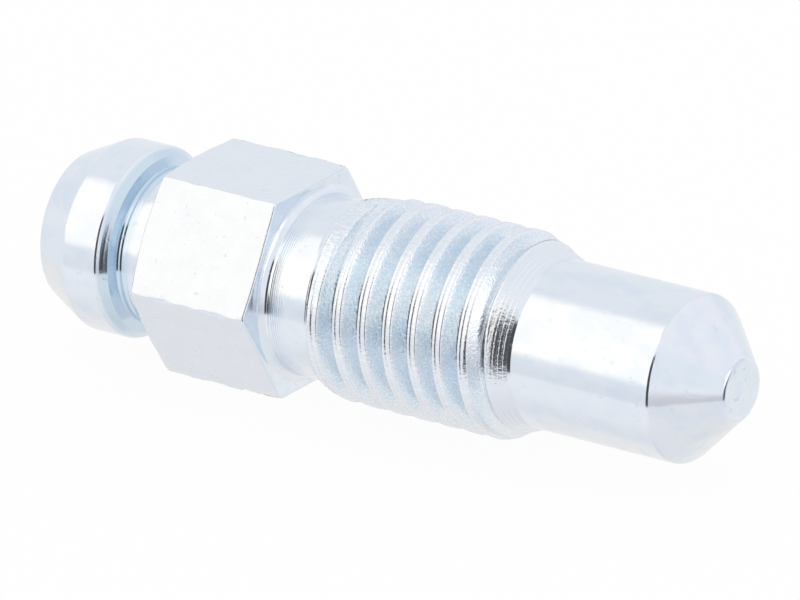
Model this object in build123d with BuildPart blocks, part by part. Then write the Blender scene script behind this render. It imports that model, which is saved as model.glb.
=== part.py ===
"""Bleeder screw: one turned steel piece with a thread, a drive hexagon and a barbed hose nipple."""

import os
from math import atan, cos, degrees, radians, tan

from build123d import *

# All sizes are in millimetres and degrees.
# The axis of the screw is X: the seat cone points to +X and the hose nipple to -X.
# The face of the hexagon on the thread side lies at x = 0.
# The screw lies on a flat of its hexagon, so +Z is square to that flat.

# Drive hexagon, with a turned chamfer on its nipple end only
HEX_ACROSS_FLATS = 7.0
HEX_LENGTH = 4.74
HEX_CHAMFER_ANGLE = 16.0
HEX_CHAMFER_START = 0.1

# Right-handed thread of 7 mm by 1 mm
THREAD_RADIUS = 3.5
THREAD_PITCH = 1.0
THREAD_LENGTH = 5.85
CREST_WIDTH = 0.2
ROOT_WIDTH = 0.09
FLANK_ANGLE = 30.0
LEAD_ANGLE = 20.0

# The groove reaches full depth this far along from the shoulder
GROOVE_START = 0.585
RUN_OUT_TURNS = 0.5
RUN_OUT_CLEARANCE = 0.1
QUARTER_TURN = 90.0

# Plain shank between the hexagon and the thread, a step below the crests
SHANK_STEP = 0.43
SHANK_LENGTH = 2.05
SHANK_FILLET = 0.33
SHOULDER_LENGTH = 0.25

# Pilot and seat cone, clear of the thread's roots
PILOT_STEP = 0.65
PILOT_LENGTH = 5.35
PILOT_EDGE = 0.12
SEAT_ANGLE = 45.0
SEAT_DEPTH = 1.8
TIP_EDGE = 0.1

# Neck and hose barb
NECK_RADIUS = 2.65
NECK_LENGTH = 1.46
NECK_FILLET = 0.15
BARB_STEP = 0.62
BARB_BACK_LENGTH = 0.28
BARB_LAND_LENGTH = 1.41
NOSE_EDGE = 0.3
NOSE_LENGTH = 1.49
NOSE_DROP = 0.77
MOUTH_EDGE = 0.2

# Fluid passage: a blind drilled bore, met in the pilot by a port on the far side
BORE_RADIUS = 1.3
BORE_CHAMFER = 0.15
DRILL_POINT_ANGLE = 59.0
PORT_RADIUS = 0.9
PORT_FROM_SEAT = 1.75
BORE_PAST_PORT = 0.25

# Radii that follow from the sizes above
shank_radius = THREAD_RADIUS - SHANK_STEP
pilot_radius = THREAD_RADIUS - PILOT_STEP
tip_radius = pilot_radius - SEAT_DEPTH
barb_radius = NECK_RADIUS + BARB_STEP
mouth_radius = barb_radius - NOSE_DROP
corner_radius = HEX_ACROSS_FLATS / 2 / cos(radians(30))
chamfer_radius = HEX_ACROSS_FLATS / 2 - HEX_CHAMFER_START

# Stations along the axis
crest_start = SHANK_LENGTH + SHOULDER_LENGTH
crest_end = crest_start + THREAD_LENGTH
pilot_start = crest_end + PILOT_STEP / tan(radians(LEAD_ANGLE))
seat_start = pilot_start + PILOT_LENGTH
tip_end = seat_start + SEAT_DEPTH / tan(radians(SEAT_ANGLE))
neck_end = -HEX_LENGTH - NECK_LENGTH
barb_start = neck_end - BARB_BACK_LENGTH
barb_end = barb_start - BARB_LAND_LENGTH
nipple_end = barb_end - NOSE_LENGTH
port_x = seat_start - PORT_FROM_SEAT
bore_end = port_x + PORT_RADIUS + BORE_PAST_PORT

# Thread groove: a flat root, and flanks that spread a little past the crest
flank_slope = tan(radians(FLANK_ANGLE))
root_half = ROOT_WIDTH / 2
thread_depth = (THREAD_PITCH - CREST_WIDTH - ROOT_WIDTH) / 2 / flank_slope
root_radius = THREAD_RADIUS - thread_depth
cut_half = (THREAD_PITCH - CREST_WIDTH / 2) / 2
cut_depth = (cut_half - root_half) / flank_slope
groove_x = crest_start + GROOVE_START
groove_length = crest_end + thread_depth / tan(radians(LEAD_ANGLE)) + THREAD_PITCH / 2 - groove_x
run_out_length = RUN_OUT_TURNS * THREAD_PITCH
run_out_rise = thread_depth + RUN_OUT_CLEARANCE
run_out_angle = atan(run_out_rise / run_out_length)

os.makedirs("parts", exist_ok=True)

with BuildPart() as threaded_end:
    # Round bar of the crest size, from the hexagon to the tip
    with BuildSketch(Plane.YZ):
        Circle(THREAD_RADIUS)
    extrude(amount=tip_end)

    # The groove starts on the -Y side and runs toward the tip, past the lead cone
    with BuildLine() as groove_path:
        Helix(
            pitch=THREAD_PITCH,
            height=groove_length,
            radius=root_radius,
            center=(groove_x, 0, 0),
            direction=(1, 0, 0),
        )
    groove = groove_path.line.rotate(Axis.X, QUARTER_TURN)

    # Toward the hexagon the groove climbs out of the metal over half a turn
    with BuildLine() as run_out_path:
        Helix(
            pitch=THREAD_PITCH / cos(run_out_angle),
            height=run_out_length,
            radius=root_radius,
            center=(groove_x, 0, 0),
            direction=(-1, 0, 0),
            cone_angle=degrees(run_out_angle),
        )
    run_out = run_out_path.line.rotate(Axis.X, -QUARTER_TURN)

    # Both cuts have the same section, with its height pointing out of the screw
    for path in (groove, run_out):
        across = (path % 0).cross(Vector(0, 1, 0))
        with BuildSketch(Plane(path @ 0, x_dir=across, z_dir=path % 0)):
            with BuildLine():
                Polyline(
                    (-root_half, 0),
                    (root_half, 0),
                    (cut_half, cut_depth),
                    (-cut_half, cut_depth),
                    close=True,
                )
            make_face()
        sweep(path=path, is_frenet=True, mode=Mode.SUBTRACT)

    # The bar is turned to the shank, the thread's ends, the pilot and the seat cone
    with BuildSketch(Plane.XY) as turned:
        with BuildLine():
            Polyline(
                (0, 0),
                (0, shank_radius),
                (SHANK_LENGTH, shank_radius),
                (crest_start, THREAD_RADIUS),
                (crest_end, THREAD_RADIUS),
                (pilot_start, pilot_radius),
                (seat_start, pilot_radius),
                (tip_end, tip_radius),
                (tip_end, 0),
                close=True,
            )
        make_face()
        fillet(turned.vertices().sort_by_distance((seat_start, pilot_radius))[0], PILOT_EDGE)
        fillet(turned.vertices().sort_by_distance((tip_end, tip_radius))[0], TIP_EDGE)
        # Hollow fillet that meets the face of the hexagon
        with Locations((0, shank_radius)):
            Rectangle(SHANK_FILLET, SHANK_FILLET, align=(Align.MIN, Align.MIN))
        with Locations((SHANK_FILLET, shank_radius + SHANK_FILLET)):
            Circle(SHANK_FILLET, mode=Mode.SUBTRACT)
    revolve(axis=Axis.X, mode=Mode.INTERSECT)

with BuildPart() as bleeder_screw:
    # The hexagon has two flats level, and a cone takes the corners off its nipple end
    with BuildSketch(Plane.YZ.offset(-HEX_LENGTH)):
        RegularPolygon(HEX_ACROSS_FLATS / 2, 6, major_radius=False)
    extrude(amount=HEX_LENGTH)
    with BuildSketch(Plane.XY):
        with BuildLine():
            chamfer_rise = (2 * corner_radius - chamfer_radius) * tan(radians(HEX_CHAMFER_ANGLE))
            Polyline(
                (-HEX_LENGTH, 0),
                (-HEX_LENGTH, chamfer_radius),
                (-HEX_LENGTH + chamfer_rise, 2 * corner_radius),
                (0, 2 * corner_radius),
                (0, 0),
                close=True,
            )
        make_face()
    revolve(axis=Axis.X, mode=Mode.INTERSECT)

    # The neck and the barbed nipple are turned to one section
    with BuildSketch(Plane.XY) as nipple:
        with BuildLine():
            Polyline(
                (nipple_end, 0),
                (nipple_end, mouth_radius),
                (barb_end, barb_radius),
                (barb_start, barb_radius),
                (neck_end, NECK_RADIUS),
                (-HEX_LENGTH, NECK_RADIUS),
                (-HEX_LENGTH, 0),
                close=True,
            )
        make_face()
        fillet(nipple.vertices().sort_by_distance((nipple_end, mouth_radius))[0], MOUTH_EDGE)
        fillet(nipple.vertices().sort_by_distance((barb_end, barb_radius))[0], NOSE_EDGE)
        fillet(nipple.vertices().sort_by_distance((neck_end, NECK_RADIUS))[0], NECK_FILLET)
    revolve(axis=Axis.X)

    add(threaded_end.part)

    # Blind bore from the nipple's mouth, with a drill point at its end
    with BuildSketch(Plane.XY):
        with BuildLine():
            Polyline(
                (nipple_end, 0),
                (nipple_end, BORE_RADIUS + BORE_CHAMFER),
                (nipple_end + BORE_CHAMFER, BORE_RADIUS),
                (bore_end, BORE_RADIUS),
                (bore_end + BORE_RADIUS / tan(radians(DRILL_POINT_ANGLE)), 0),
                close=True,
            )
        make_face()
    revolve(axis=Axis.X, mode=Mode.SUBTRACT)

    # Port from the bore to the +Y side of the pilot
    with Locations(Plane(origin=(port_x, pilot_radius, 0), z_dir=(0, 1, 0))):
        Hole(PORT_RADIUS, depth=pilot_radius)

bleeder_screw.part.label = "bleeder_screw"
export_step(bleeder_screw.part, "parts/bleeder_screw.step")
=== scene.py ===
# %% [markdown]
# # Bleeder screw, finished in Blender
#
# The part is one piece of zinc-plated steel: a hose nipple, a drive hexagon, a rolled thread,
# a plain pilot and a seat cone, all turned on one axis. The CAD gives the sizes and the place.
# This file gives the same screw the finish of the real one: rolled crests, turning marks,
# softened edges and bright zinc.
#
# Everything is in metres, and the axis of the screw is X. The hexagon's face on the thread
# side lies at x = 0, the seat points to +X, and the screw rests on a flat of its hexagon.

from math import cos, pi, radians, sin, tan

import bpy
from mathutils import Matrix, Vector


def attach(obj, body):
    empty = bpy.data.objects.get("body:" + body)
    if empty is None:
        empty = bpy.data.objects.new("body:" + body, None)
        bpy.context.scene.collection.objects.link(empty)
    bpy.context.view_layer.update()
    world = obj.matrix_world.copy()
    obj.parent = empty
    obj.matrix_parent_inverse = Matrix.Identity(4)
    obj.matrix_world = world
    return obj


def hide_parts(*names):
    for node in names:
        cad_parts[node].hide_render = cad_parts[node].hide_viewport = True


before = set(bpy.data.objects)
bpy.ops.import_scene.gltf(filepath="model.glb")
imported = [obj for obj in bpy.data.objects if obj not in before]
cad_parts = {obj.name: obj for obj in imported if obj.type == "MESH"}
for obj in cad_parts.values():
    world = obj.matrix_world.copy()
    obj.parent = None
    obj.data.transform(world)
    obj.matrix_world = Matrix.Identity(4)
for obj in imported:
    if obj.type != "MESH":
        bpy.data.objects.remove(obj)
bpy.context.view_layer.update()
MM = 0.001

# %% [markdown]
# ## Camera
#
# The photograph is a close view through a long lens, from the thread side and from a little
# above. The three axes below were fitted to the outline of the screw in the photograph, so
# they are given as they came out, and not as round angles.

# %% Camera
LENS_SENSOR = 36.0
LENS_LENGTH = 830.42

camera_right = Vector((0.81699579, 0.57633993, -0.01871264))
camera_up = Vector((-0.20548319, 0.3212985, 0.92441545))
camera_back = Vector((0.53878988, -0.7513984, 0.38092769))
screw_from_camera = Vector((-2.8442152, 0.574042309, -609.212445)) * MM

camera_place = Matrix((camera_right, camera_up, camera_back)).transposed() @ -screw_from_camera
camera_data = bpy.data.cameras.new("camera")
camera_data.sensor_width = LENS_SENSOR
camera_data.lens = LENS_LENGTH
camera_data.clip_start = 0.05
camera_data.clip_end = 20.0
camera = bpy.data.objects.new("camera", camera_data)
bpy.context.scene.collection.objects.link(camera)
camera.matrix_world = Matrix.Translation(camera_place) @ Matrix(
    (camera_right, camera_up, camera_back)
).transposed().to_4x4()
bpy.context.scene.camera = camera
print("camera stands at", [round(v, 4) for v in camera_place])

# %% [markdown]
# ## Sums that become nodes
#
# The shape and the finish both need arithmetic in node trees. Drawn by hand that is a wide
# web of Math nodes. Here one small class wraps an output socket, so `1 - mask` adds its own
# node, and a board puts down every other kind of node with one method. The same two classes
# serve the Geometry Nodes tree and the materials.

# %% Wires and boards
class Wire:
    """An output socket. Arithmetic on it adds Math nodes to its board."""

    def __init__(self, board, socket):
        self.board = board
        self.socket = socket

    def math(self, operation, *values):
        sockets = dict(enumerate(values))
        return self.board.put("ShaderNodeMath", {"operation": operation}, sockets)[0]

    def __add__(self, other):
        return self.math("ADD", self, other)

    def __radd__(self, other):
        return self.math("ADD", other, self)

    def __sub__(self, other):
        return self.math("SUBTRACT", self, other)

    def __rsub__(self, other):
        return self.math("SUBTRACT", other, self)

    def __mul__(self, other):
        return self.math("MULTIPLY", self, other)

    def __rmul__(self, other):
        return self.math("MULTIPLY", other, self)

    def __truediv__(self, other):
        return self.math("DIVIDE", self, other)

    def __rtruediv__(self, other):
        return self.math("DIVIDE", other, self)

    def __pow__(self, other):
        return self.math("POWER", self, other)

    def __mod__(self, other):
        return self.math("FLOORED_MODULO", self, other)

    def __abs__(self):
        return self.math("ABSOLUTE", self)

    def __neg__(self):
        return self.math("MULTIPLY", self, -1.0)

    def __lt__(self, other):
        return self.math("LESS_THAN", self, other)

    def least(self, other):
        return self.math("MINIMUM", self, other)

    def most(self, other):
        return self.math("MAXIMUM", self, other)

    def root(self):
        return self.math("SQRT", self)

    def sine(self):
        return self.math("SINE", self)

    def cosine(self):
        return self.math("COSINE", self)

    def tangent(self):
        return self.math("TANGENT", self)

    def sign(self):
        return self.math("SIGN", self)

    def floor(self):
        return self.math("FLOOR", self)

    def toward(self, other, share):
        """This value at share 0, the other at share 1."""
        return self + (other - self) * share

    def rise(self, low, high, out_low=0.0, out_high=1.0):
        """A smooth step from one value to another as this value goes from low to high."""
        return self.board.put(
            "ShaderNodeMapRange",
            {"interpolation_type": "SMOOTHSTEP", "clamp": True},
            {"Value": self, "From Min": low, "From Max": high, "To Min": out_low, "To Max": out_high},
        )["Result"]

    def fall(self, low, high):
        """A smooth step down from 1 to 0."""
        return self.rise(low, high, 1.0, 0.0)

    def within(self, start, full, fade, end):
        """1 from full to fade, and 0 before start and after end."""
        return self.rise(start, full) * self.fall(fade, end)

    def soft_least(self, other, width):
        """The smaller of two values, with their crossing rounded over a width."""
        return self.math("SMOOTH_MIN", self, other, width)

    def soft_most(self, other, width):
        return self.math("SMOOTH_MAX", self, other, width)


class Outputs:
    """The outputs of a node, found by name or number."""

    def __init__(self, board, node):
        self.board = board
        self.node = node

    def __getitem__(self, key):
        return Wire(self.board, self.node.outputs[key])


class Board:
    """A node tree and the one method that adds nodes to it."""

    def __init__(self, tree):
        self.tree = tree

    def put(self, kind, settings=None, sockets=None):
        node = self.tree.nodes.new(kind)
        for name, value in (settings or {}).items():
            if name == "stops":
                ramp = node.color_ramp
                while len(ramp.elements) < len(value):
                    ramp.elements.new(0.5)
                for element, (place, colour) in zip(ramp.elements, value):
                    element.position = place
                    element.color = colour
            else:
                setattr(node, name, value)
        for name, value in (sockets or {}).items():
            if isinstance(value, Wire):
                self.tree.links.new(value.socket, node.inputs[name])
            elif value is not None:
                node.inputs[name].default_value = value
        return Outputs(self, node)


print("boards and wires are ready")

# %% [markdown]
# ## The turned section
#
# The real screw starts as a hexagonal bar in a lathe. Everything but the hexagon is a
# section turned round the axis, so the section comes first. It runs from the middle of the
# tip, over the outside to the nipple, and back down the bore to the drill point. Each station
# of it is a point with its place along the axis and its radius, and a few numbers that say
# how it takes part in the hexagon or in the thread.

# %% Sizes of the screw, in millimetres
BAR_ACROSS_FLATS = 7.0
HEXAGON_END = -4.74
CHAMFER_RADIUS = 3.4
CHAMFER_ANGLE = 16.0
EDGE_WEAR = 0.06
FACE_PULL = -0.2
FACE_RISE = 0.03

SHANK_RADIUS = 3.07
FILLET_FOOT = 0.235
FILLET_ANGLE = 47.0
SHOULDER_FOOT = 2.0
SHOULDER_TOP = 2.16
THREAD_END = 8.15
CREST_RADIUS = 3.5
LEAD_ANGLE = 20.0
TWIST_START = 2.34
TWIST_END = 9.1

PILOT_RADIUS = 2.85
lead_slope = tan(radians(LEAD_ANGLE))
PILOT_START = THREAD_END + (CREST_RADIUS - PILOT_RADIUS) / lead_slope
LEAD_SHIFT = 0.045
LEAD_FOOT = PILOT_START - LEAD_SHIFT
SEAT_START = 15.286
TIP_RADIUS = 1.05
TIP_END = 17.086

NECK_RADIUS = 2.65
NECK_RINGS_START = -5.72
NECK_FOOT_RADIUS = 2.67
BACK_FOOT = -6.125
WALL_TOP = -6.235
WALL_TOP_RADIUS = 3.01
BACK_MIDDLE = -6.36
BACK_MIDDLE_RADIUS = 3.093
BACK_BEND = -6.475
BACK_BEND_RADIUS = 3.165
BARB_RADIUS = 3.27
BARB_START = -6.57
BARB_END = -7.89
MOUTH_RADIUS = 2.54
NIPPLE_END = -9.38
MOUTH_CHAMFER = 0.15
MOUTH_RUN = 0.5
BORE_RADIUS = 1.3
BORE_END = 14.686
DRILL_POINT_ANGLE = 59.0
drill_point = BORE_END + BORE_RADIUS / tan(radians(DRILL_POINT_ANGLE))
print("pilot from", round(PILOT_START, 3), "mm, bore to", round(drill_point, 3), "mm")

# %% Stations
BORE, TURNED, DRAWN, ROLLED = 0, 1, 2, 3
stations = []


def add_stations(points, zone=TURNED, hexed=0.0, pull=0.0, inset=0.0, rolled=0.0, twist=0.0):
    """Points of the section, with what their rows take from the hexagon or the thread."""
    for x, radius in points:
        stations.append((x, radius, zone, hexed, pull, inset, rolled, twist))


def between(start, end, steps):
    """Points on a straight run, without its first one."""
    return [
        (start[0] + (end[0] - start[0]) * i / steps, start[1] + (end[1] - start[1]) * i / steps)
        for i in range(1, steps + 1)
    ]


def rounded(corners, arc_steps=5, longest=0.45, beside=1.6):
    """A turned section through corners of (x, radius, rounding), with its long runs divided.

    A point stands beside each end of an arc, so that the arc's shading doesn't spread."""
    path = [(corners[0][0], corners[0][1])]
    for before, (x, r, rounding), after in zip(corners, corners[1:], corners[2:]):
        here = Vector((x, r))
        inward = (Vector(before[:2]) - here).normalized()
        outward = (Vector(after[:2]) - here).normalized()
        half = inward.angle(outward) / 2
        reach = rounding / tan(half)
        middle = here + (inward + outward).normalized() * (rounding / sin(half))
        first, last = here + inward * reach - middle, here + outward * reach - middle
        turn = first.angle_signed(last)
        path.append(tuple(here + inward * reach * beside))
        for i in range(arc_steps + 1):
            bend = -turn * i / arc_steps
            path.append(tuple(middle + Matrix.Rotation(bend, 2) @ first))
        path.append(tuple(here + outward * reach * beside))
    path.append((corners[-1][0], corners[-1][1]))
    filled = [path[0]]
    for point in path[1:]:
        steps = max(1, int((Vector(point) - Vector(filled[-1])).length / longest))
        filled += between(filled[-1], point, steps)
    return filled


print("rounding of a right angle:", rounded([(0, 0), (0, 1, 0.1), (1, 1)], 2, 1.0)[1:6])

# %% Tip, seat cone, pilot and the foot of the lead cone
LEAD_STUB = 0.1
add_stations(
    rounded(
        [
            (TIP_END, 0.0),
            (TIP_END, TIP_RADIUS, 0.2),
            (SEAT_START, PILOT_RADIUS, 0.2),
            (LEAD_FOOT, PILOT_RADIUS, 0.1),
            (LEAD_FOOT - LEAD_STUB, PILOT_RADIUS + LEAD_STUB * lead_slope),
        ]
    )
)
print("stations to the lead cone:", len(stations))

# %% [markdown]
# ### Lead cone and thread
#
# The cone that leads the thread into its hole was turned, and the tool has left narrow grooves
# round it that can be counted. They are modelled as rows of points close together. On the
# thread a row of points follows the helix instead of a circle, and the rows crowd together
# where the section bends: at the crest with its seam, and at the root.

# %% Lead cone with its turning marks
LEAD_ROWS_START = LEAD_FOOT - 0.12
LEAD_ROW_STEP = 0.019
LAST_ROW_GAP = 0.001
LEAD_MARK_PITCH = 0.166
LEAD_MARK_DEPTH = 0.0105
FIRST_LEAD_MARK = PILOT_START - 0.32
MARKS_FADE_START = TWIST_END + 0.08
MARKS_FADE_LENGTH = 0.06
lead_rows = []
x = LEAD_ROWS_START
while x > TWIST_END + LAST_ROW_GAP:
    mark = (0.5 + 0.5 * cos(2 * pi * (FIRST_LEAD_MARK - x) / LEAD_MARK_PITCH)) ** 3
    if x > FIRST_LEAD_MARK + LEAD_MARK_PITCH / 2:
        mark = 0.0
    fade = min(1.0, max(0.0, (x - MARKS_FADE_START) / MARKS_FADE_LENGTH))
    cone = PILOT_RADIUS + (LEAD_FOOT - x) * lead_slope
    lead_rows.append((x, cone - LEAD_MARK_DEPTH * mark * fade))
    x -= LEAD_ROW_STEP
add_stations(lead_rows, ROLLED, rolled=1.0)
print("stations to the thread:", len(stations))

# %% Thread, whose stations follow the helix
CREST_X = 3.135
PITCH = 1.0
SEAM_PLACE = -0.02
SEAM_HALF = 0.04
seam_rows = [SEAM_PLACE + SEAM_HALF * share for share in (-1, -0.5, 0, 0.5, 1)]
crest_rows = [-0.21, -0.18, -0.155, -0.13, -0.09] + seam_rows + [0.07, 0.12, 0.145, 0.165, 0.185, 0.21]
flank_rows = [0.26, 0.32, 0.37, 0.4, 0.43, 0.46, 0.49, 0.52, 0.57, 0.64, 0.72]
twisted = set()
for turn in range(-2, 9):
    for offset in crest_rows + flank_rows:
        twisted.add(round(CREST_X + turn * PITCH + offset, 4))
twisted = sorted((x for x in twisted if TWIST_START < x < TWIST_END + PITCH), reverse=True)
add_stations([(TWIST_END + PITCH, 0.0)], zone=ROLLED, rolled=1.0, twist=1.0)
add_stations([(x, 0.0) for x in twisted], zone=ROLLED, rolled=1.0, twist=1.0)
add_stations([(TWIST_START, 0.0)], zone=ROLLED, rolled=1.0, twist=1.0)
print("stations on the helix:", len(twisted) + 2)

# %% [markdown]
# ## Shank and hexagon
#
# The tool that turned the shank left a few fine rings beside the hollow fillet, where it
# dwelled before it drew back. They are modelled as grooves that get deeper toward the fillet.
#
# The hexagon is what is left of the bar. Its stations carry a share of the hexagon's outline in
# place of a radius of their own, so one row of points can run round all six corners, and the
# chamfer's edge dips on each flat as the real one does. The face on the thread side is a very
# flat cone too: it stands a little proud beside the fillet and falls back toward the corners.

# %% Shoulder and plain shank
SHOULDER_STEP = 0.036
RIPPLE_STEP = 0.02
RIPPLES_START = SHOULDER_FOOT + 0.04
RIPPLES_END = SHOULDER_FOOT - 0.5
PLAIN_SHANK_END = 1.16
x = TWIST_START - RIPPLE_STEP
while x > RIPPLES_END:
    zone = ROLLED if x > SHOULDER_FOOT else TURNED
    add_stations([(x, CREST_RADIUS)], zone, rolled=1.0)
    x -= SHOULDER_STEP if x > RIPPLES_START else RIPPLE_STEP
add_stations(between((x, SHANK_RADIUS), (PLAIN_SHANK_END, SHANK_RADIUS), 2))
print("stations to the turning rings:", len(stations))

# %% Turning rings of the shank, and the hollow fillet
ACROSS_A_RING = (0.04, 0.22, 0.5, 0.78, 0.96)
SHANK_RINGS_START = 1.12
SHANK_RING_PITCH = 0.083
HOLLOW_START = 0.372


def scallops(start, pitch, slopes, radius):
    """Rows of round-bottomed grooves side by side toward -X, as a feeding tool leaves them."""
    rows = []
    for i, slope in enumerate(slopes):
        for share in ACROSS_A_RING:
            depth = pitch * slope / 4 * (1 - (2 * share - 1) ** 2)
            x = start - (i + share) * pitch
            rows.append((x, radius(x) - depth))
    return rows


shank_slopes = [0.15 + 0.05 * i for i in range(9)]
add_stations(scallops(SHANK_RINGS_START, SHANK_RING_PITCH, shank_slopes, lambda x: SHANK_RADIUS))
face_radius = SHANK_RADIUS + (FILLET_FOOT - FACE_RISE) * tan(radians(FILLET_ANGLE))
hollow = [(HOLLOW_START, SHANK_RADIUS), (FILLET_FOOT, SHANK_RADIUS, 0.18), (FACE_RISE, face_radius)]
add_stations(rounded(hollow, arc_steps=7)[1:])
print("stations to the hexagon:", len(stations))

# %% Hexagon: face, worn edge, flats, chamfer
FACE_SHARES = (0.15, 0.5, 0.85, 1.0)
EDGE_STEPS = 3
FLAT_STEPS = 26
BESIDE_EDGE = 0.09
PART_WORN = 0.25
for share in FACE_SHARES:
    add_stations([(FACE_RISE, face_radius)], hexed=share, pull=FACE_PULL * share, inset=EDGE_WEAR)
for i in range(1, EDGE_STEPS + 1):
    bend = pi / 2 * i / EDGE_STEPS
    add_stations(
        [(FACE_RISE + EDGE_WEAR * (cos(bend) - 1), 0.0)],
        DRAWN, 1.0, pull=FACE_PULL, inset=EDGE_WEAR * (1 - sin(bend)),
    )
flat_rows = [-BESIDE_EDGE] + [HEXAGON_END * i / FLAT_STEPS for i in range(1, FLAT_STEPS)]
flat_rows += [HEXAGON_END + BESIDE_EDGE, HEXAGON_END + EDGE_WEAR]
for x in flat_rows:
    add_stations([(x, 0.0)], DRAWN, 1.0, pull=FACE_PULL + (1 - FACE_PULL) * x / HEXAGON_END)
chamfer_sine, chamfer_cosine = sin(radians(CHAMFER_ANGLE)), cos(radians(CHAMFER_ANGLE))
add_stations(
    [(HEXAGON_END + PART_WORN * EDGE_WEAR * (1 - chamfer_sine), 0.0)],
    DRAWN, 1.0, pull=1.0, inset=PART_WORN * EDGE_WEAR * chamfer_cosine,
)
for share in (*reversed(FACE_SHARES), 0.0):
    add_stations(
        [(HEXAGON_END - share * EDGE_WEAR * chamfer_sine, CHAMFER_RADIUS)],
        TURNED, share, pull=share, inset=EDGE_WEAR * chamfer_cosine,
    )
print("stations to the neck:", len(stations))

# %% [markdown]
# ### Nipple
#
# The neck widens a little before the barb, in two coarse rings. The barb's back is what holds
# the hose, and it rises in two steps: a steep one out of the neck, and a softer one up to the
# land. The nose beyond the land is a long cone, and the mouth of the bore has a small chamfer.

# %% Neck with its two rings
END_FACE_STUB = 0.03
NECK_RING_PITCH = 0.2
NECK_RING_SLOPES = (0.2, 0.33)
neck = rounded(
    [
        (HEXAGON_END, CHAMFER_RADIUS - END_FACE_STUB),
        (HEXAGON_END, NECK_RADIUS, 0.08),
        (NECK_RINGS_START, NECK_RADIUS),
    ],
    longest=0.25,
)


def neck_taper(x):
    """The radius where the neck widens toward the foot of the barb."""
    share = (NECK_RINGS_START - x) / (NECK_RINGS_START - BACK_FOOT)
    return NECK_RADIUS + (NECK_FOOT_RADIUS - NECK_RADIUS) * share ** 2


neck_rings = scallops(NECK_RINGS_START, NECK_RING_PITCH, NECK_RING_SLOPES, neck_taper)
add_stations(neck + neck_rings)
print("stations to the barb:", len(stations))

# %% Barb, mouth and bore
BACK_STUB = 0.012
BORE_STEPS = 24
POINT_STEPS = 4
nipple = rounded(
    [
        (BACK_FOOT + BACK_STUB, NECK_FOOT_RADIUS),
        (BACK_FOOT, NECK_FOOT_RADIUS, 0.004),
        (WALL_TOP, WALL_TOP_RADIUS, 0.025),
        (BACK_MIDDLE, BACK_MIDDLE_RADIUS, 0.2),
        (BACK_BEND, BACK_BEND_RADIUS, 0.01),
        (BARB_START, BARB_RADIUS, 0.17),
        (BARB_END, BARB_RADIUS, 0.22),
        (NIPPLE_END, MOUTH_RADIUS, 0.2),
        (NIPPLE_END, BORE_RADIUS + MOUTH_CHAMFER, 0.02),
        (NIPPLE_END + MOUTH_CHAMFER, BORE_RADIUS, 0.02),
        (NIPPLE_END + MOUTH_RUN, BORE_RADIUS),
    ],
    arc_steps=6,
    longest=0.25,
)
add_stations(nipple[1:])
add_stations(between((NIPPLE_END + MOUTH_RUN, BORE_RADIUS), (BORE_END, BORE_RADIUS), BORE_STEPS), BORE)
add_stations(between((BORE_END, BORE_RADIUS), (drill_point, 0.0), POINT_STEPS), BORE)
print("stations in all:", len(stations))

# %% The section as a mesh of loose points
section = bpy.data.meshes.new("turned_section")
section.from_pydata([(row[0] * MM, row[1] * MM, 0.0) for row in stations], [], [])
for column, name in enumerate(("zone", "hexed", "pull", "inset", "rolled", "twist"), start=2):
    layer = section.attributes.new(name, "FLOAT", "POINT")
    layer.data.foreach_set("value", [row[column] for row in stations])
screw = bpy.data.objects.new("bleeder_screw_finished", section)
bpy.context.scene.collection.objects.link(screw)
print("the section has", len(section.vertices), "points")

# %% [markdown]
# ## From section to screw
#
# The Geometry Nodes tree lays a flat grid, one row for each station and one column for each
# angle round the axis, and then bends it into the screw. A grid point reads its row's numbers
# and works out its own radius: from the section, from the hexagon, or from the thread. Rows of
# the thread are sheared along the helix, so the crests run along edges of the mesh and stay
# crisp. The grid's two long sides meet on top of the screw, where the doubles are merged.

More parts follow.
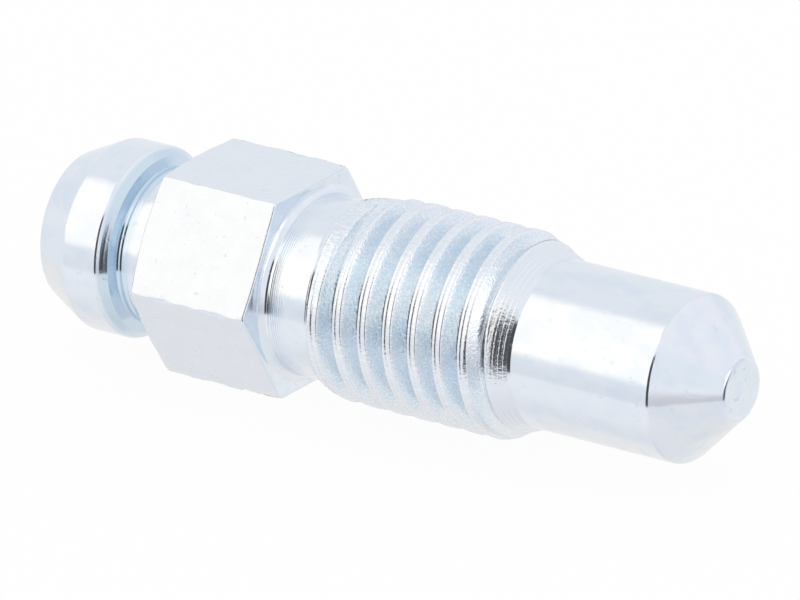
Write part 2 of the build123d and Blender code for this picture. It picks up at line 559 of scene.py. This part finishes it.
# %% Tree inputs
tree = bpy.data.node_groups.new("screw_from_section", "GeometryNodeTree")
board = Board(tree)
tree.interface.new_socket("Geometry", in_out="INPUT", socket_type="NodeSocketGeometry")
tree.interface.new_socket("Geometry", in_out="OUTPUT", socket_type="NodeSocketGeometry")
tree_inputs = {
    "Columns": ("NodeSocketInt", 168),
    "Corner crowding": ("NodeSocketFloat", 1.8),
    "Across flats": ("NodeSocketFloat", BAR_ACROSS_FLATS),
    "Corner rounding": ("NodeSocketFloat", 0.12),
    "Chamfer radius": ("NodeSocketFloat", CHAMFER_RADIUS),
    "Chamfer angle": ("NodeSocketFloat", radians(CHAMFER_ANGLE)),
    "Crest radius": ("NodeSocketFloat", CREST_RADIUS),
    "Crest half width": ("NodeSocketFloat", 0.16),
    "Seam depth": ("NodeSocketFloat", 0.02),
    "Seam place": ("NodeSocketFloat", SEAM_PLACE),
    "Seam half width": ("NodeSocketFloat", SEAM_HALF),
    "Shank radius": ("NodeSocketFloat", SHANK_RADIUS),
    "Shoulder foot": ("NodeSocketFloat", SHOULDER_FOOT),
    "Shoulder top": ("NodeSocketFloat", SHOULDER_TOP),
    "Foot dip": ("NodeSocketFloat", 0.045),
    "Foot ripple": ("NodeSocketFloat", 0.005),
    "Flattened cone": ("NodeSocketFloat", 0.06),
    "Root radius": ("NodeSocketFloat", 2.8851),
    "Flank angle": ("NodeSocketFloat", radians(30.0)),
    "Pitch": ("NodeSocketFloat", PITCH),
    "Crest position": ("NodeSocketFloat", CREST_X),
    "Groove start": ("NodeSocketFloat", 2.746),
    "Run-out turns": ("NodeSocketFloat", 0.19),
    "Low first crest": ("NodeSocketFloat", 0.13),
    "Shallow end": ("NodeSocketFloat", 0.16),
    "Lead start": ("NodeSocketFloat", THREAD_END + 0.25),
    "Lead angle": ("NodeSocketFloat", radians(LEAD_ANGLE)),
    "Lead bend": ("NodeSocketFloat", 0.1),
    "Edge dents": ("NodeSocketFloat", 0.06),
    "Twist start": ("NodeSocketFloat", TWIST_START),
    "Twist end": ("NodeSocketFloat", TWIST_END),
    "Port position": ("NodeSocketFloat", 13.536),
    "Port radius": ("NodeSocketFloat", 0.9),
}
for name, (kind, value) in tree_inputs.items():
    tree.interface.new_socket(name, in_out="INPUT", socket_type=kind).default_value = value
entry = board.put("NodeGroupInput")
print("tree inputs:", ", ".join(tree_inputs))

# %% Grid, rows and angles
count = board.put("GeometryNodeAttributeDomainSize", {"component": "MESH"}, {0: entry["Geometry"]})
rows = count["Point Count"]
columns = entry["Columns"]
grid = board.put(
    "GeometryNodeMeshGrid",
    None,
    {"Size X": rows - 1, "Size Y": columns, "Vertices X": rows, "Vertices Y": columns + 1},
)
spot = board.put("ShaderNodeSeparateXYZ", None, {0: board.put("GeometryNodeInputPosition")[0]})
row = (spot["X"] + (rows - 1) / 2 + 0.5).floor()
column = (spot["Y"] + columns / 2 + 0.5).floor()

sector = columns / 6
step = (column + sector / 2) % sector - sector / 2
nearness = abs(step) / (sector / 2)
from_flat = (1 - (1 - nearness) ** entry["Corner crowding"]) * radians(30)
flat_centre = ((column + sector / 2) / sector).floor() * radians(60)
angle = flat_centre + from_flat * step.sign()
turns = angle / (2 * pi)


def of_row(name):
    """A number that the row's station carries."""
    value = board.put("GeometryNodeInputNamedAttribute", {"data_type": "FLOAT"}, {"Name": name})[0]
    return board.put(
        "GeometryNodeSampleIndex",
        {"data_type": "FLOAT", "domain": "POINT"},
        {"Geometry": entry["Geometry"], "Value": value, "Index": row},
    )[0]


section_point = board.put(
    "GeometryNodeSampleIndex",
    {"data_type": "FLOAT_VECTOR", "domain": "POINT"},
    {
        "Geometry": entry["Geometry"],
        "Value": board.put("GeometryNodeInputPosition")[0],
        "Index": row,
    },
)[0]
section_split = board.put("ShaderNodeSeparateXYZ", None, {0: section_point})
row_x = section_split["X"] / MM
row_radius = section_split["Y"] / MM
print("nodes so far:", len(tree.nodes))

# %% [markdown]
# ### Hexagon
#
# The radius of the outline depends on the angle alone: a straight flat, and a corner that is
# rounded. The real corners are worn and knocked, so smooth noise varies their rounding from
# place to place and presses shallow dents into them. The chamfer is a cone, so its edge on the
# flats follows from the outline, and a row of points is pulled along with it by its own share.

# %% Smooth noise for wear
AROUND_RADIUS = 4.0


def grain(x, y, z):
    """Smooth noise from 0 to 1 at a place."""
    spot = board.put("ShaderNodeCombineXYZ", None, {"X": x, "Y": y, "Z": z})[0]
    return board.put(
        "ShaderNodeTexNoise", {"noise_dimensions": "3D"}, {"Vector": spot, "Scale": 1.0, "Detail": 2.0}
    )["Fac"]


around_y = angle.sine() * AROUND_RADIUS
around_z = angle.cosine() * AROUND_RADIUS
print("wear is read on a circle of", AROUND_RADIUS, "mm")

# %% Hexagon law, with worn corners
LEAST_ROUNDING, MOST_ROUNDING = 0.6, 2.3
LEAST_WEAR, MOST_WEAR = 0.5, 1.9
DENTS_TO_THE_MM = 3.2
WEAR_TO_THE_MM = 1.7
NEAR_CORNER = (0.7, 0.95)
corner_angle = flat_centre + step.sign() * radians(30)
corner_wear = grain(row_x * 1.3, corner_angle * 5.0, 0.0)
rounding = entry["Corner rounding"] * corner_wear.rise(0.35, 0.68, LEAST_ROUNDING, MOST_ROUNDING)
corner_reach = (entry["Across flats"] / 2 - rounding) / cos(radians(30))
from_corner = radians(30) - from_flat
beside = corner_reach * from_corner.sine()
rounded_corner = corner_reach * from_corner.cosine() + (
    (rounding ** 2 - beside ** 2).most(0.0)
).root()
flat_radius = entry["Across flats"] / 2 / from_flat.cosine()
in_rounding = beside < rounding / 2
dent_place = (value * DENTS_TO_THE_MM for value in (row_x, around_y, around_z))
dents = grain(*dent_place).rise(0.52, 0.72) * nearness.rise(*NEAR_CORNER)
hexagon_radius = flat_radius.toward(rounded_corner, in_rounding) - dents * entry["Edge dents"]
chamfer_depth = (hexagon_radius - entry["Chamfer radius"]) * entry["Chamfer angle"].tangent()
hexagon_x = row_x + of_row("pull") * chamfer_depth
edge_grain = grain(around_y * WEAR_TO_THE_MM, around_z * WEAR_TO_THE_MM, 4.0)
edge_wear = edge_grain.rise(0.3, 0.7, LEAST_WEAR, MOST_WEAR)
hexagon_share = row_radius.toward(hexagon_radius - of_row("inset") * edge_wear, of_row("hexed"))
print("nodes with the hexagon:", len(tree.nodes))

# %% [markdown]
# ### Thread
#
# The dies pressed the groove into the bar, and the metal rose beside it until it met along the
# crest in a fine seam. Toward the shank the groove climbs out of the metal in less than a fifth
# of a turn, and the first crest stands a little lower on the upper side. At the other end the
# groove gets shallower before the lead cone cuts it off.
#
# Rows on the thread are sheared by one pitch for each turn. The phase of a point is a whole
# number on the line of the crest, so its distance from the crest and from the middle of the
# groove come from it, and the section of the thread can be written in those distances.

# %% Rows on the helix
sheared = row_x + entry["Pitch"] * (turns - 1) * of_row("twist")
held = sheared.least(entry["Twist end"]).most(entry["Twist start"])
along = hexagon_x.toward(held, of_row("twist"))
phase = (along - entry["Crest position"]) / entry["Pitch"] - turns
off_crest = (phase + 0.5) % 1.0 - 0.5
from_crest = abs(off_crest) * entry["Pitch"]
from_valley = (phase % 1.0 - 0.5) * entry["Pitch"]
turns_in = (along - from_valley - entry["Groove start"]) / entry["Pitch"]
print("nodes with the helix:", len(tree.nodes))

# %% Groove, crest and seam
RUN_OUT_RISE = 0.72
ROOT_SOFTNESS = 0.05
CREST_SOFTNESS = 0.04
SHALLOWER = (8.6, 8.9)
FIRST_CREST_END = (2.95, 3.35)
UPPER_SIDE = (-0.2, 0.8)
flank_slope = entry["Flank angle"].tangent()
flank = entry["Crest radius"] + (entry["Crest half width"] - from_crest) / flank_slope
lift = (-turns_in).most(0.0) * RUN_OUT_RISE / entry["Run-out turns"]
root = entry["Root radius"] + along.rise(*SHALLOWER) * entry["Shallow end"]
groove = flank.soft_most(root, ROOT_SOFTNESS) + lift
upward = angle.cosine().rise(*UPPER_SIDE)
crest = entry["Crest radius"] - entry["Low first crest"] * upward * along.fall(*FIRST_CREST_END)
from_seam = abs(off_crest - entry["Seam place"])
seam = entry["Seam depth"] * from_seam.fall(0.0, entry["Seam half width"])
threaded = (crest - seam).soft_least(groove, CREST_SOFTNESS)
print("nodes with the groove:", len(tree.nodes))

# %% [markdown]
# ### The two ends of the thread
#
# The lead cone starts with a soft bend, and then comes back to the line of the turned cone that
# goes on below it. On the -Y side, which is the front, it is flattened a little.
#
# The shoulder where the thread begins isn't a true cone, because the metal flowed there while
# it was rolled. On top its foot lies nearer the hexagon. Below, and on the far side, the foot
# lies nearer the tip and the slope is longer. Just before the foot the shank has a shallow dip
# with a fine ripple.

# %% Lead cone, a little flattened in front
REJOIN = (8.6, 8.95)
FLAT_MIDDLE = 0.22
FLAT_EDGES = (0.02, 0.22)
FLAT_RISE = (8.9, 9.0)
FLAT_LENGTH = 0.28
past_lead = (along - entry["Lead start"]).most(0.0)
in_bend = past_lead.least(entry["Lead bend"])
straightened = past_lead - in_bend + in_bend ** 2 / (entry["Lead bend"] * 2)
late_start = entry["Lead start"] + entry["Lead bend"] / 2 - THREAD_END + LEAD_SHIFT
rejoin = along.rise(*REJOIN) * late_start
lead = entry["Crest radius"] - (straightened + rejoin) * entry["Lead angle"].tangent()
cone_radius = row_radius.toward(lead.least(entry["Crest radius"]), of_row("twist"))

from_top = (turns + 0.5) % 1.0 - 0.5
in_front = abs(from_top - FLAT_MIDDLE).fall(*FLAT_EDGES)
flat_left = (1 - (along - FLAT_RISE[1]) / FLAT_LENGTH).most(0.0).least(1.0)
flattened = in_front * along.rise(*FLAT_RISE) * flat_left
cone_radius = cone_radius - flattened * entry["Flattened cone"]
print("nodes with the lead cone:", len(tree.nodes))

# %% Shoulder
TOP_MIDDLE, TOP_REACH = 0.03, 0.16
BELOW = (0.32, 0.46)
FAR_SIDE = (-0.075, 0.0)
FOOT_EARLIER, FOOT_LATER = 0.2, 0.45
TOP_EARLIER, TOP_LATER, TOP_LESS_BELOW = 0.1, 0.85, 0.18
DIP_START = (-0.24, -0.01)
RIPPLE_START = (-0.2, -0.12)
RIPPLE_PITCH = 0.09
FOOT_SOFTNESS = 0.03
SHOULDER_SOFTNESS = 0.05
early = abs(from_top - TOP_MIDDLE).fall(0.0, TOP_REACH)
late_below = from_top.rise(*BELOW)
late = late_below + from_top.fall(*FAR_SIDE)
foot = entry["Shoulder foot"] - early * FOOT_EARLIER + late * FOOT_LATER
top = entry["Shoulder top"] - early * TOP_EARLIER + late * TOP_LATER - late_below * TOP_LESS_BELOW
past_foot = along - foot
dip = past_foot.rise(*DIP_START) * entry["Foot dip"]
wave = (past_foot * (2 * pi / RIPPLE_PITCH)).cosine()
ripple = wave * past_foot.rise(*RIPPLE_START) * entry["Foot ripple"]
climb = past_foot / (top - foot)
shoulder = entry["Shank radius"] + climb * (entry["Crest radius"] - entry["Shank radius"])
shoulder = shoulder.soft_most(entry["Shank radius"] - dip - ripple, FOOT_SOFTNESS)
thread_radius = threaded.least(cone_radius).soft_least(shoulder, SHOULDER_SOFTNESS)
radius = hexagon_share.toward(thread_radius, of_row("rolled"))
print("nodes with the shoulder:", len(tree.nodes))

# %% [markdown]
# ## Four finishes
#
# One plating covers the whole screw, but the steel under it was worked in four ways, and the
# thin zinc shows each of them: the flats keep the skin of the drawn bar, the turned faces have
# rings, the thread is rolled, and the bore is drilled. Each finish is its own material. They
# are only named here, because the tree sets them, and get their nodes further down.

# %% Names of the finishes
zinc_on_drawn_flats = bpy.data.materials.new("zinc_on_drawn_flats")
zinc_on_turned_faces = bpy.data.materials.new("zinc_on_turned_faces")
zinc_on_rolled_thread = bpy.data.materials.new("zinc_on_rolled_thread")
zinc_in_drilled_bore = bpy.data.materials.new("zinc_in_drilled_bore")
# In the order of the zone numbers: bore, turned, drawn and rolled
finishes = {
    "Bore": zinc_in_drilled_bore,
    "Turned faces": zinc_on_turned_faces,
    "Flats": zinc_on_drawn_flats,
    "Thread": zinc_on_rolled_thread,
}
for name in finishes:
    tree.interface.new_socket(name, in_out="INPUT", socket_type="NodeSocketMaterial")
print("finishes:", ", ".join(finishes))

# %% Bend the grid, give it its finishes and close it
MERGE_DISTANCE = 1e-7
place_on_screw = board.put(
    "ShaderNodeCombineXYZ",
    None,
    {
        "X": along * MM,
        "Y": radius * angle.sine() * -MM,
        "Z": radius * angle.cosine() * MM,
    },
)[0]
shape = board.put(
    "GeometryNodeStoreNamedAttribute",
    {"data_type": "FLOAT", "domain": "POINT"},
    {"Geometry": grid["Mesh"], "Name": "zone", "Value": of_row("zone")},
)[0]
shape = board.put("GeometryNodeSetPosition", None, {"Geometry": shape, "Position": place_on_screw})[0]
zone_number = board.put("GeometryNodeInputNamedAttribute", {"data_type": "FLOAT"}, {"Name": "zone"})[0]
shape = board.put(
    "GeometryNodeSetMaterial", None, {"Geometry": shape, "Material": entry["Turned faces"]}
)[0]
for number, name in enumerate(finishes):
    chosen = abs(zone_number - number) < 0.5
    shape = board.put(
        "GeometryNodeSetMaterial",
        None,
        {"Geometry": shape, "Selection": chosen, "Material": entry[name]},
    )[0]
shape = board.put(
    "GeometryNodeMergeByDistance", None, {"Geometry": shape, "Distance": MERGE_DISTANCE}
)[0]
print("nodes with the closed grid:", len(tree.nodes))

# %% Port, drilled from the +Y side to the bore
CUTTER_DEPTH = 3.2
CUTTER_MIDDLE = 2.5
cutter = board.put(
    "GeometryNodeMeshCylinder",
    {"fill_type": "NGON"},
    {"Vertices": 48, "Radius": entry["Port radius"] * MM, "Depth": CUTTER_DEPTH * MM},
)["Mesh"]
cutter = board.put(
    "GeometryNodeTransform",
    None,
    {
        "Geometry": cutter,
        "Translation": board.put(
            "ShaderNodeCombineXYZ",
            None,
            {"X": entry["Port position"] * MM, "Y": CUTTER_MIDDLE * MM},
        )[0],
        "Rotation": (pi / 2, 0.0, 0.0),
    },
)[0]
cutter = board.put("GeometryNodeSetMaterial", None, {"Geometry": cutter, "Material": entry["Bore"]})[0]
shape = board.put(
    "GeometryNodeMeshBoolean",
    {"operation": "DIFFERENCE", "solver": "MANIFOLD"},
    {"Mesh 1": shape, "Mesh 2": cutter},
)["Mesh"]
shape = board.put("GeometryNodeSetShadeSmooth", {"domain": "FACE"}, {"Geometry": shape})[0]
shape = board.put("GeometryNodeRealizeInstances", None, {"Geometry": shape})[0]
board.put("NodeGroupOutput", None, {"Geometry": shape})
print("nodes in the tree:", len(tree.nodes))

# %% Make the screw
modifier = screw.modifiers.new("shape", "NODES")
modifier.node_group = tree
socket_ids = {
    item.name: item.identifier
    for item in tree.interface.items_tree
    if item.item_type == "SOCKET" and item.in_out == "INPUT"
}
for name, (kind, value) in tree_inputs.items():
    modifier[socket_ids[name]] = value
for name, material in finishes.items():
    modifier[socket_ids[name]] = material
evaluated = screw.evaluated_get(bpy.context.evaluated_depsgraph_get())
finished = bpy.data.meshes.new_from_object(evaluated)
screw.modifiers.remove(modifier)
screw.data = finished
finished.name = "bleeder_screw_finished"
# The grid starts with an empty material, which no face keeps
if finished.materials[0] is None:
    finished.materials.pop(index=0)


def closed_volume(mesh):
    """The volume inside a mesh in cubic millimetres, above zero where its faces point out."""
    mesh.calc_loop_triangles()
    total = 0.0
    for triangle in mesh.loop_triangles:
        a, b, c = (mesh.vertices[i].co for i in triangle.vertices)
        total += a.dot(b.cross(c)) / 6
    return total / MM**3


print("volume inside:", round(closed_volume(finished), 2), "mm3")
print("triangles:", len(finished.loop_triangles), "materials:", [m.name for m in finished.materials])

# %% Put the screw in the frame
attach(screw, "root")
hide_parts("bleeder_screw")
print("the finished screw stands in for its CAD node")

# %% [markdown]
# ## Zinc on four kinds of steel
#
# Bright zinc is a metal with a faint blue cast, and its own colour is close to white. What the
# eye reads as "plated steel" is mostly what it reflects, so the small slopes of the surface
# matter more than its colour. Each finish below builds a height from noise that is stretched
# the way the tool went: round the axis on turned faces, along the bar on the flats, and short
# and random on the rolled flanks. A Bump node turns that height into slopes.

# %% What every finish shares
ZINC = (0.80, 0.86, 0.925, 1.0)
ZINC_BLUE = (0.70, 0.80, 0.91, 1.0)
# A darker, bluer zinc: painted shade for the end of the neck under the barb
ZINC_PAINTED_SHADE = (0.62, 0.75, 0.86, 1.0)
# A darker, bluer zinc: painted shade for the thread grooves
ZINC_PAINTED_GROOVE_SHADE = (0.64, 0.78, 0.89, 1.0)
ZINC_SPARKLE = (0.92, 0.95, 0.97, 1.0)
ZINC_HAZE = (0.68, 0.75, 0.82, 1.0)
BORE_GREY = (0.62, 0.63, 0.64, 1.0)
BORE_DARK = (0.48, 0.48, 0.49, 1.0)
MICRON = 1e-6


class Finish(Board):
    """The board of one finish, with the place on the screw in millimetres."""

    def __init__(self, material):
        material.use_nodes = True
        material.node_tree.nodes.clear()
        super().__init__(material.node_tree)
        place = self.put("ShaderNodeTexCoord")["Object"]
        split = self.put("ShaderNodeSeparateXYZ", None, {0: place})
        self.x, self.y, self.z = (split[axis] / MM for axis in "XYZ")

    def noise(self, along, across, detail=2.0, roughness=0.5, shift=0.0):
        """Noise from 0 to 1 with so many grains to the millimetre along the axis and across it."""
        spread = self.put(
            "ShaderNodeCombineXYZ",
            None,
            {"X": self.x * along + shift, "Y": self.y * across, "Z": self.z * across},
        )[0]
        return self.put(
            "ShaderNodeTexNoise",
            {"noise_dimensions": "3D"},
            {"Vector": spread, "Scale": 1.0, "Detail": detail, "Roughness": roughness},
        )["Fac"]

    def blend(self, first, second, share):
        """A colour between two others."""
        return self.put(
            "ShaderNodeMix", {"data_type": "RGBA"}, {0: share, 6: first, 7: second}
        )[2]

    def bump(self, height, microns):
        """Slopes of a height, where a height of 1 stands for so many microns."""
        return self.put(
            "ShaderNodeBump", None, {"Height": height, "Distance": microns * MICRON, "Strength": 1.0}
        )[0]

    def coat(self, colour, roughness, normal):
        """The finish itself, as bare metal."""
        shader = self.put(
            "ShaderNodeBsdfPrincipled",
            None,
            {"Base Color": colour, "Metallic": 1.0, "Roughness": roughness, "Normal": normal},
        )[0]
        self.put("ShaderNodeOutputMaterial", None, {"Surface": shader})


print("zinc reflects", ZINC[:3])

# %% [markdown]
# ### Turned faces
#
# The nipple, the neck, the shank, the pilot and the seat came off a lathe. The feed of the
# tool leaves rings, too fine to count but strong enough to spread every reflection along the
# axis. Two sets of rings are used, a fine one and a coarse one. Broad soft waves break up the
# reflections, with a few handling marks, and the zinc is bluer in clouds. The end of the neck,
# under the barb, is painted darker and bluer as painted shade.

# %% Turned finish
# Painted shade: along this stretch of the axis, the end of the neck under the barb gets the darker,
# bluer zinc
NECK_PAINTED_SHADE = (-6.55, -6.45, -6.0, -5.5)
turned = Finish(zinc_on_turned_faces)
fine_rings = turned.noise(22.0, 0.5, detail=2.0)
coarse_rings = turned.noise(5.0, 0.15, detail=1.0, shift=7.0)
marks = turned.noise(3.0, 3.0, detail=3.0, shift=3.0).rise(0.62, 0.7)
cloud = turned.noise(0.9, 1.3, detail=3.0, shift=11.0).rise(0.4, 0.68)
waves = turned.noise(1.4, 1.8, detail=3.0, shift=23.0)
clouded = turned.blend(ZINC, ZINC_BLUE, cloud * 0.55 + marks * 0.3)
turned_height = fine_rings * 0.35 + coarse_rings * 0.9 + waves * 1.6 - marks * 0.4
turned.coat(
    colour=turned.blend(clouded, ZINC_PAINTED_SHADE, turned.x.within(*NECK_PAINTED_SHADE)),
    roughness=(0.09 + fine_rings * 0.06 + marks * 0.15).least(1.0),
    normal=turned.bump(turned_height, microns=4.0),
)
print("turned finish:", len(turned.tree.nodes), "nodes")

# %% [markdown]
# ### Flats of the hexagon
#
# The flats were never cut. They keep the skin of the drawn bar: faint lines along the bar, a
# mottled haze that is soft and uneven, fine grit, and scuffs from other screws.

# %% Drawn finish
drawn = Finish(zinc_on_drawn_flats)
draw_lines = drawn.noise(0.6, 7.0, detail=3.0)
haze = drawn.noise(1.3, 1.7, detail=3.0, roughness=0.6, shift=5.0)
grit = drawn.noise(5.0, 6.0, detail=2.0, shift=9.0)
scuffs = drawn.noise(1.3, 8.0, detail=2.0, shift=17.0).rise(0.68, 0.78)
drawn.coat(
    colour=drawn.blend(ZINC, ZINC_HAZE, haze.rise(0.4, 0.72) * 0.12 + scuffs * 0.22),
    roughness=(0.2 + haze * 0.12 + grit.rise(0.66, 0.74) * 0.2).least(1.0),
    normal=drawn.bump(haze * 2.0 + draw_lines * 0.7 + grit * 0.2 - scuffs * 0.6, microns=7.0),
)
print("drawn finish:", len(drawn.tree.nodes), "nodes")

# %% [markdown]
# ### Rolled thread
#
# The thread was pressed between dies, not cut. Its flanks have a satin speckle, with short
# streaks that climb from the root to the crest, faint lines from the dies, and a sparkle where
# the zinc is brightest. Down in the grooves the zinc is painted darker and bluer as painted
# shade, stronger in patches. The lead cone was turned, so it has scratches in place of the sparkle.

# %% Rolled finish
GROOVE_TOP = (3.4, 3.48)
GROOVES_END = (8.7, 8.8)
CONE_START = (8.9, 9.0)
SCRATCHES_START = (8.9, 9.1)
rolled = Finish(zinc_on_rolled_thread)
speckle = rolled.noise(6.5, 8.0, detail=3.0, roughness=0.65)
streaks = rolled.noise(2.2, 13.0, detail=2.0, shift=4.0)
die_lines = rolled.noise(14.0, 0.7, detail=2.0, shift=6.0)
patches = rolled.noise(1.2, 0.9, detail=2.0, shift=2.0).rise(0.42, 0.62)
from_axis = (rolled.y ** 2 + rolled.z ** 2).root()
in_groove = from_axis.fall(*GROOVE_TOP) * rolled.x.fall(*GROOVES_END)
# Painted shade: below the crests the grooves are painted darker and bluer, stronger in patches and
# speckle
painted_groove_shade = in_groove * (patches * 0.4 + speckle.rise(0.42, 0.6) * 0.3 + 0.12)
sparkle = rolled.noise(3.0, 15.0, detail=2.0, shift=13.0).rise(0.48, 0.66) * 0.7
sparkle = sparkle * rolled.x.fall(*CONE_START)
scratches = rolled.noise(16.0, 9.0, detail=2.0, shift=21.0) * rolled.x.rise(*SCRATCHES_START)
rolled.coat(
    colour=rolled.blend(rolled.blend(ZINC, ZINC_PAINTED_GROOVE_SHADE, painted_groove_shade), ZINC_SPARKLE, sparkle),
    roughness=0.12 + speckle * 0.14,
    normal=rolled.bump(speckle * 1.4 + streaks * 1.1 + die_lines * 0.5 + scratches * 0.45, microns=9.0),
)
print("rolled finish:", len(rolled.tree.nodes), "nodes")

# %% [markdown]
# ### Bore
#
# Little of the plating bath reaches into a narrow blind hole, so the zinc there is thin, grey
# and dull, and the drill has left its own rings.

# %% Drilled finish
drilled = Finish(zinc_in_drilled_bore)
drill_rings = drilled.noise(12.0, 0.4, detail=2.0)
drilled.coat(
    colour=drilled.blend(BORE_GREY, BORE_DARK, drill_rings),
    roughness=0.35 + drill_rings * 0.15,
    normal=drilled.bump(drill_rings, microns=8.0),
)
print("drilled finish:", len(drilled.tree.nodes), "nodes")

# %% [markdown]
# ## Floor
#
# The screw lies on pale paper. The camera sees the paper close to white, as in the photograph,
# and it keeps the soft shadow under the screw. It is left out of mirror rays, because the
# metal gets the whole of its surroundings from the studio below.

# %% Paper floor
FLOOR_HALF = 1.5
FLOOR_HEIGHT = -BAR_ACROSS_FLATS / 2 * MM
PAPER_GLOW = 0.96
floor_mesh = bpy.data.meshes.new("paper_floor")
floor_mesh.from_pydata(
    [
        (x * FLOOR_HALF, y * FLOOR_HALF, FLOOR_HEIGHT)
        for x, y in ((-1, -1), (1, -1), (1, 1), (-1, 1))
    ],
    [],
    [(0, 1, 2, 3)],
)
floor = bpy.data.objects.new("paper_floor", floor_mesh)
bpy.context.scene.collection.objects.link(floor)
floor.visible_glossy = False

paper_material = bpy.data.materials.new("paper")
paper_material.use_nodes = True
paper_material.node_tree.nodes.clear()
floor_mesh.materials.append(paper_material)
paper = Board(paper_material.node_tree)
rays = paper.put("ShaderNodeLightPath")
seen = rays["Is Camera Ray"].most(rays["Is Glossy Ray"]).most(rays["Is Transmission Ray"])
lit = paper.put("ShaderNodeBsdfDiffuse", None, {"Color": (0.93, 0.93, 0.93, 1.0)})[0]
white = paper.put("ShaderNodeEmission", None, {"Color": (1.0, 1.0, 1.0, 1.0), "Strength": 1.0})[0]
shown = paper.put("ShaderNodeMixShader", None, {0: seen * PAPER_GLOW, 1: lit, 2: white})[0]
paper.put("ShaderNodeOutputMaterial", None, {"Surface": shown})
print("floor at z =", FLOOR_HEIGHT)

# %% [markdown]
# ## Studio
#
# A mirror shows its room, so the room is drawn with care: white cloth all round, a brighter
# window to the left of the camera and a bright lamp to its right, a dark opening beside the
# camera and two small ones at the edge of the table, and a grey gap below the horizon where
# the table ends. They are patches of the world, given by compass direction and height in
# degrees. Direction 0 looks along -Y and 90 along +X. Each row of a list below is a colour and
# the patch that it covers, and it lies over the rows before it.

# %% Directions in the room
world = bpy.data.worlds.new("studio")
bpy.context.scene.world = world
world.use_nodes = True
world.node_tree.nodes.clear()
room = Board(world.node_tree)
look = room.put("ShaderNodeSeparateXYZ", None, {0: room.put("ShaderNodeTexCoord")["Generated"]})
compass = look["X"].math("ARCTAN2", look["X"], -look["Y"]) * (180 / pi)
height = look["Z"].math("ARCSINE", look["Z"]) * (180 / pi)


def patch(left, right, low, high, soft=4.0):
    """1 inside a window of the room, 0 outside, with soft edges."""
    across = compass.within(left - soft, left + soft, right - soft, right + soft)
    return across * height.within(low - soft, low + soft, high - soft, high + soft)


def paint(under, patches):
    """The colours under some patches, with each patch of (colour, share) laid over them."""
    for colour, share in patches:
        under = room.put(
            "ShaderNodeMix", {"data_type": "RGBA"}, {0: share, 6: under, 7: (*colour, 1.0)}
        )[2]
    return under


print("room directions are ready")

# %% Cloth and windows above the table
CLOTH = (0.913, 0.91, 0.924, 1.0)
window = compass.within(-90, -72, -16, -8) * height.within(-3, 6, 56, 68)
cloth = paint(
    CLOTH,
    [
        ((0.979, 0.948, 0.978), patch(35, 170, -90, 90, 8.0)),
        ((0.885, 0.893, 0.916), height.rise(55, 70)),
        ((0.913, 0.929, 0.951), patch(46, 76, 0, 30, 5.0)),
        ((0.823, 0.849, 0.89), patch(112, 150, 8, 26, 5.0)),
        ((0.67, 0.77, 0.85), patch(126, 148, -1, 9, 4.0)),
        ((1.7, 1.6, 1.48), patch(80, 106, 2, 26, 5.0)),
        ((0.98, 0.97, 0.975), height.rise(38, 50) * compass.rise(-30, 0)),
        ((1.26, 1.18, 1.10), window),
    ],
)
print("cloth and windows are painted")

# %% Table below the horizon
TABLE = (0.94, 0.905, 0.88, 1.0)
table = paint(
    TABLE,
    [
        ((0.979, 0.957, 0.96), compass.within(-95, -60, 20, 50)),
        ((0.91, 0.885, 0.885), compass.within(30, 50, 80, 110)),
        ((0.895, 0.876, 0.881), height.fall(-60, -38) * compass.within(-100, -70, 80, 110)),
        ((0.84, 0.823, 0.83), height.fall(-80, -62)),
        ((0.86, 0.90, 0.93), patch(74, 118, -46, -22, 6.0)),
    ],
)
room_colour = room.put(
    "ShaderNodeMix", {"data_type": "RGBA"}, {0: height.rise(-24, -20), 6: table, 7: cloth}
)[2]
room_colour = paint(room_colour, [((0.97, 0.96, 0.95), patch(136, 156, -30, -14, 4.0))])
print("table is painted")

# %% Gap behind the table, by direction and how bright it is there
TABLE_EDGE = (-23.5, -21.5)
GAP = (
    (-60, 1.0), (-40, 0.97), (-24, 0.9), (34, 0.7), (60, 0.72),
    (78, 0.66), (92, 0.5), (108, 0.45), (132, 0.8), (150, 1.0),
)
gap_stops = [((place + 180) / 360, (value, value, value * 1.01, 1.0)) for place, value in GAP]
gap = room.put(
    "ShaderNodeValToRGB", {"stops": gap_stops}, {"Fac": (compass + 180) / 360}
)["Color"]
room_colour = room.put(
    "ShaderNodeMix",
    {"data_type": "RGBA", "blend_type": "MULTIPLY"},
    {0: height.within(*TABLE_EDGE, -18, -3), 6: room_colour, 7: gap},
)[2]
print("the gap has", len(GAP), "stops")

# %% Dark openings, and the room as the world
camera_opening = compass.within(-15, -9, 30, 37) * height.within(*TABLE_EDGE, 36, 44)
side_opening = compass.within(92, 98, 122, 130) * height.within(*TABLE_EDGE, -9, -3)
low_opening = compass.within(118, 123, 137, 142) * height.within(*TABLE_EDGE, -20.5, -18)
room_colour = paint(
    room_colour,
    [
        ((0.08, 0.08, 0.085), camera_opening),
        ((0.08, 0.09, 0.11), side_opening),
        ((0.12, 0.13, 0.15), low_opening),
    ],
)
rays = room.put("ShaderNodeLightPath")
around = room.put("ShaderNodeBackground", None, {"Color": room_colour, "Strength": 1.0})[0]
backdrop = room.put("ShaderNodeBackground", None, {"Color": (1.0, 1.0, 1.0, 1.0), "Strength": 1.0})[0]
sky = room.put("ShaderNodeMixShader", None, {0: rays["Is Camera Ray"], 1: around, 2: backdrop})[0]
room.put("ShaderNodeOutputWorld", None, {"Surface": sky})
print("studio nodes:", len(world.node_tree.nodes))

# %% [markdown]
# ## Colour
#
# The Standard view shows a colour about as it was written.

# %% Colour
bpy.context.scene.view_settings.view_transform = "Standard"
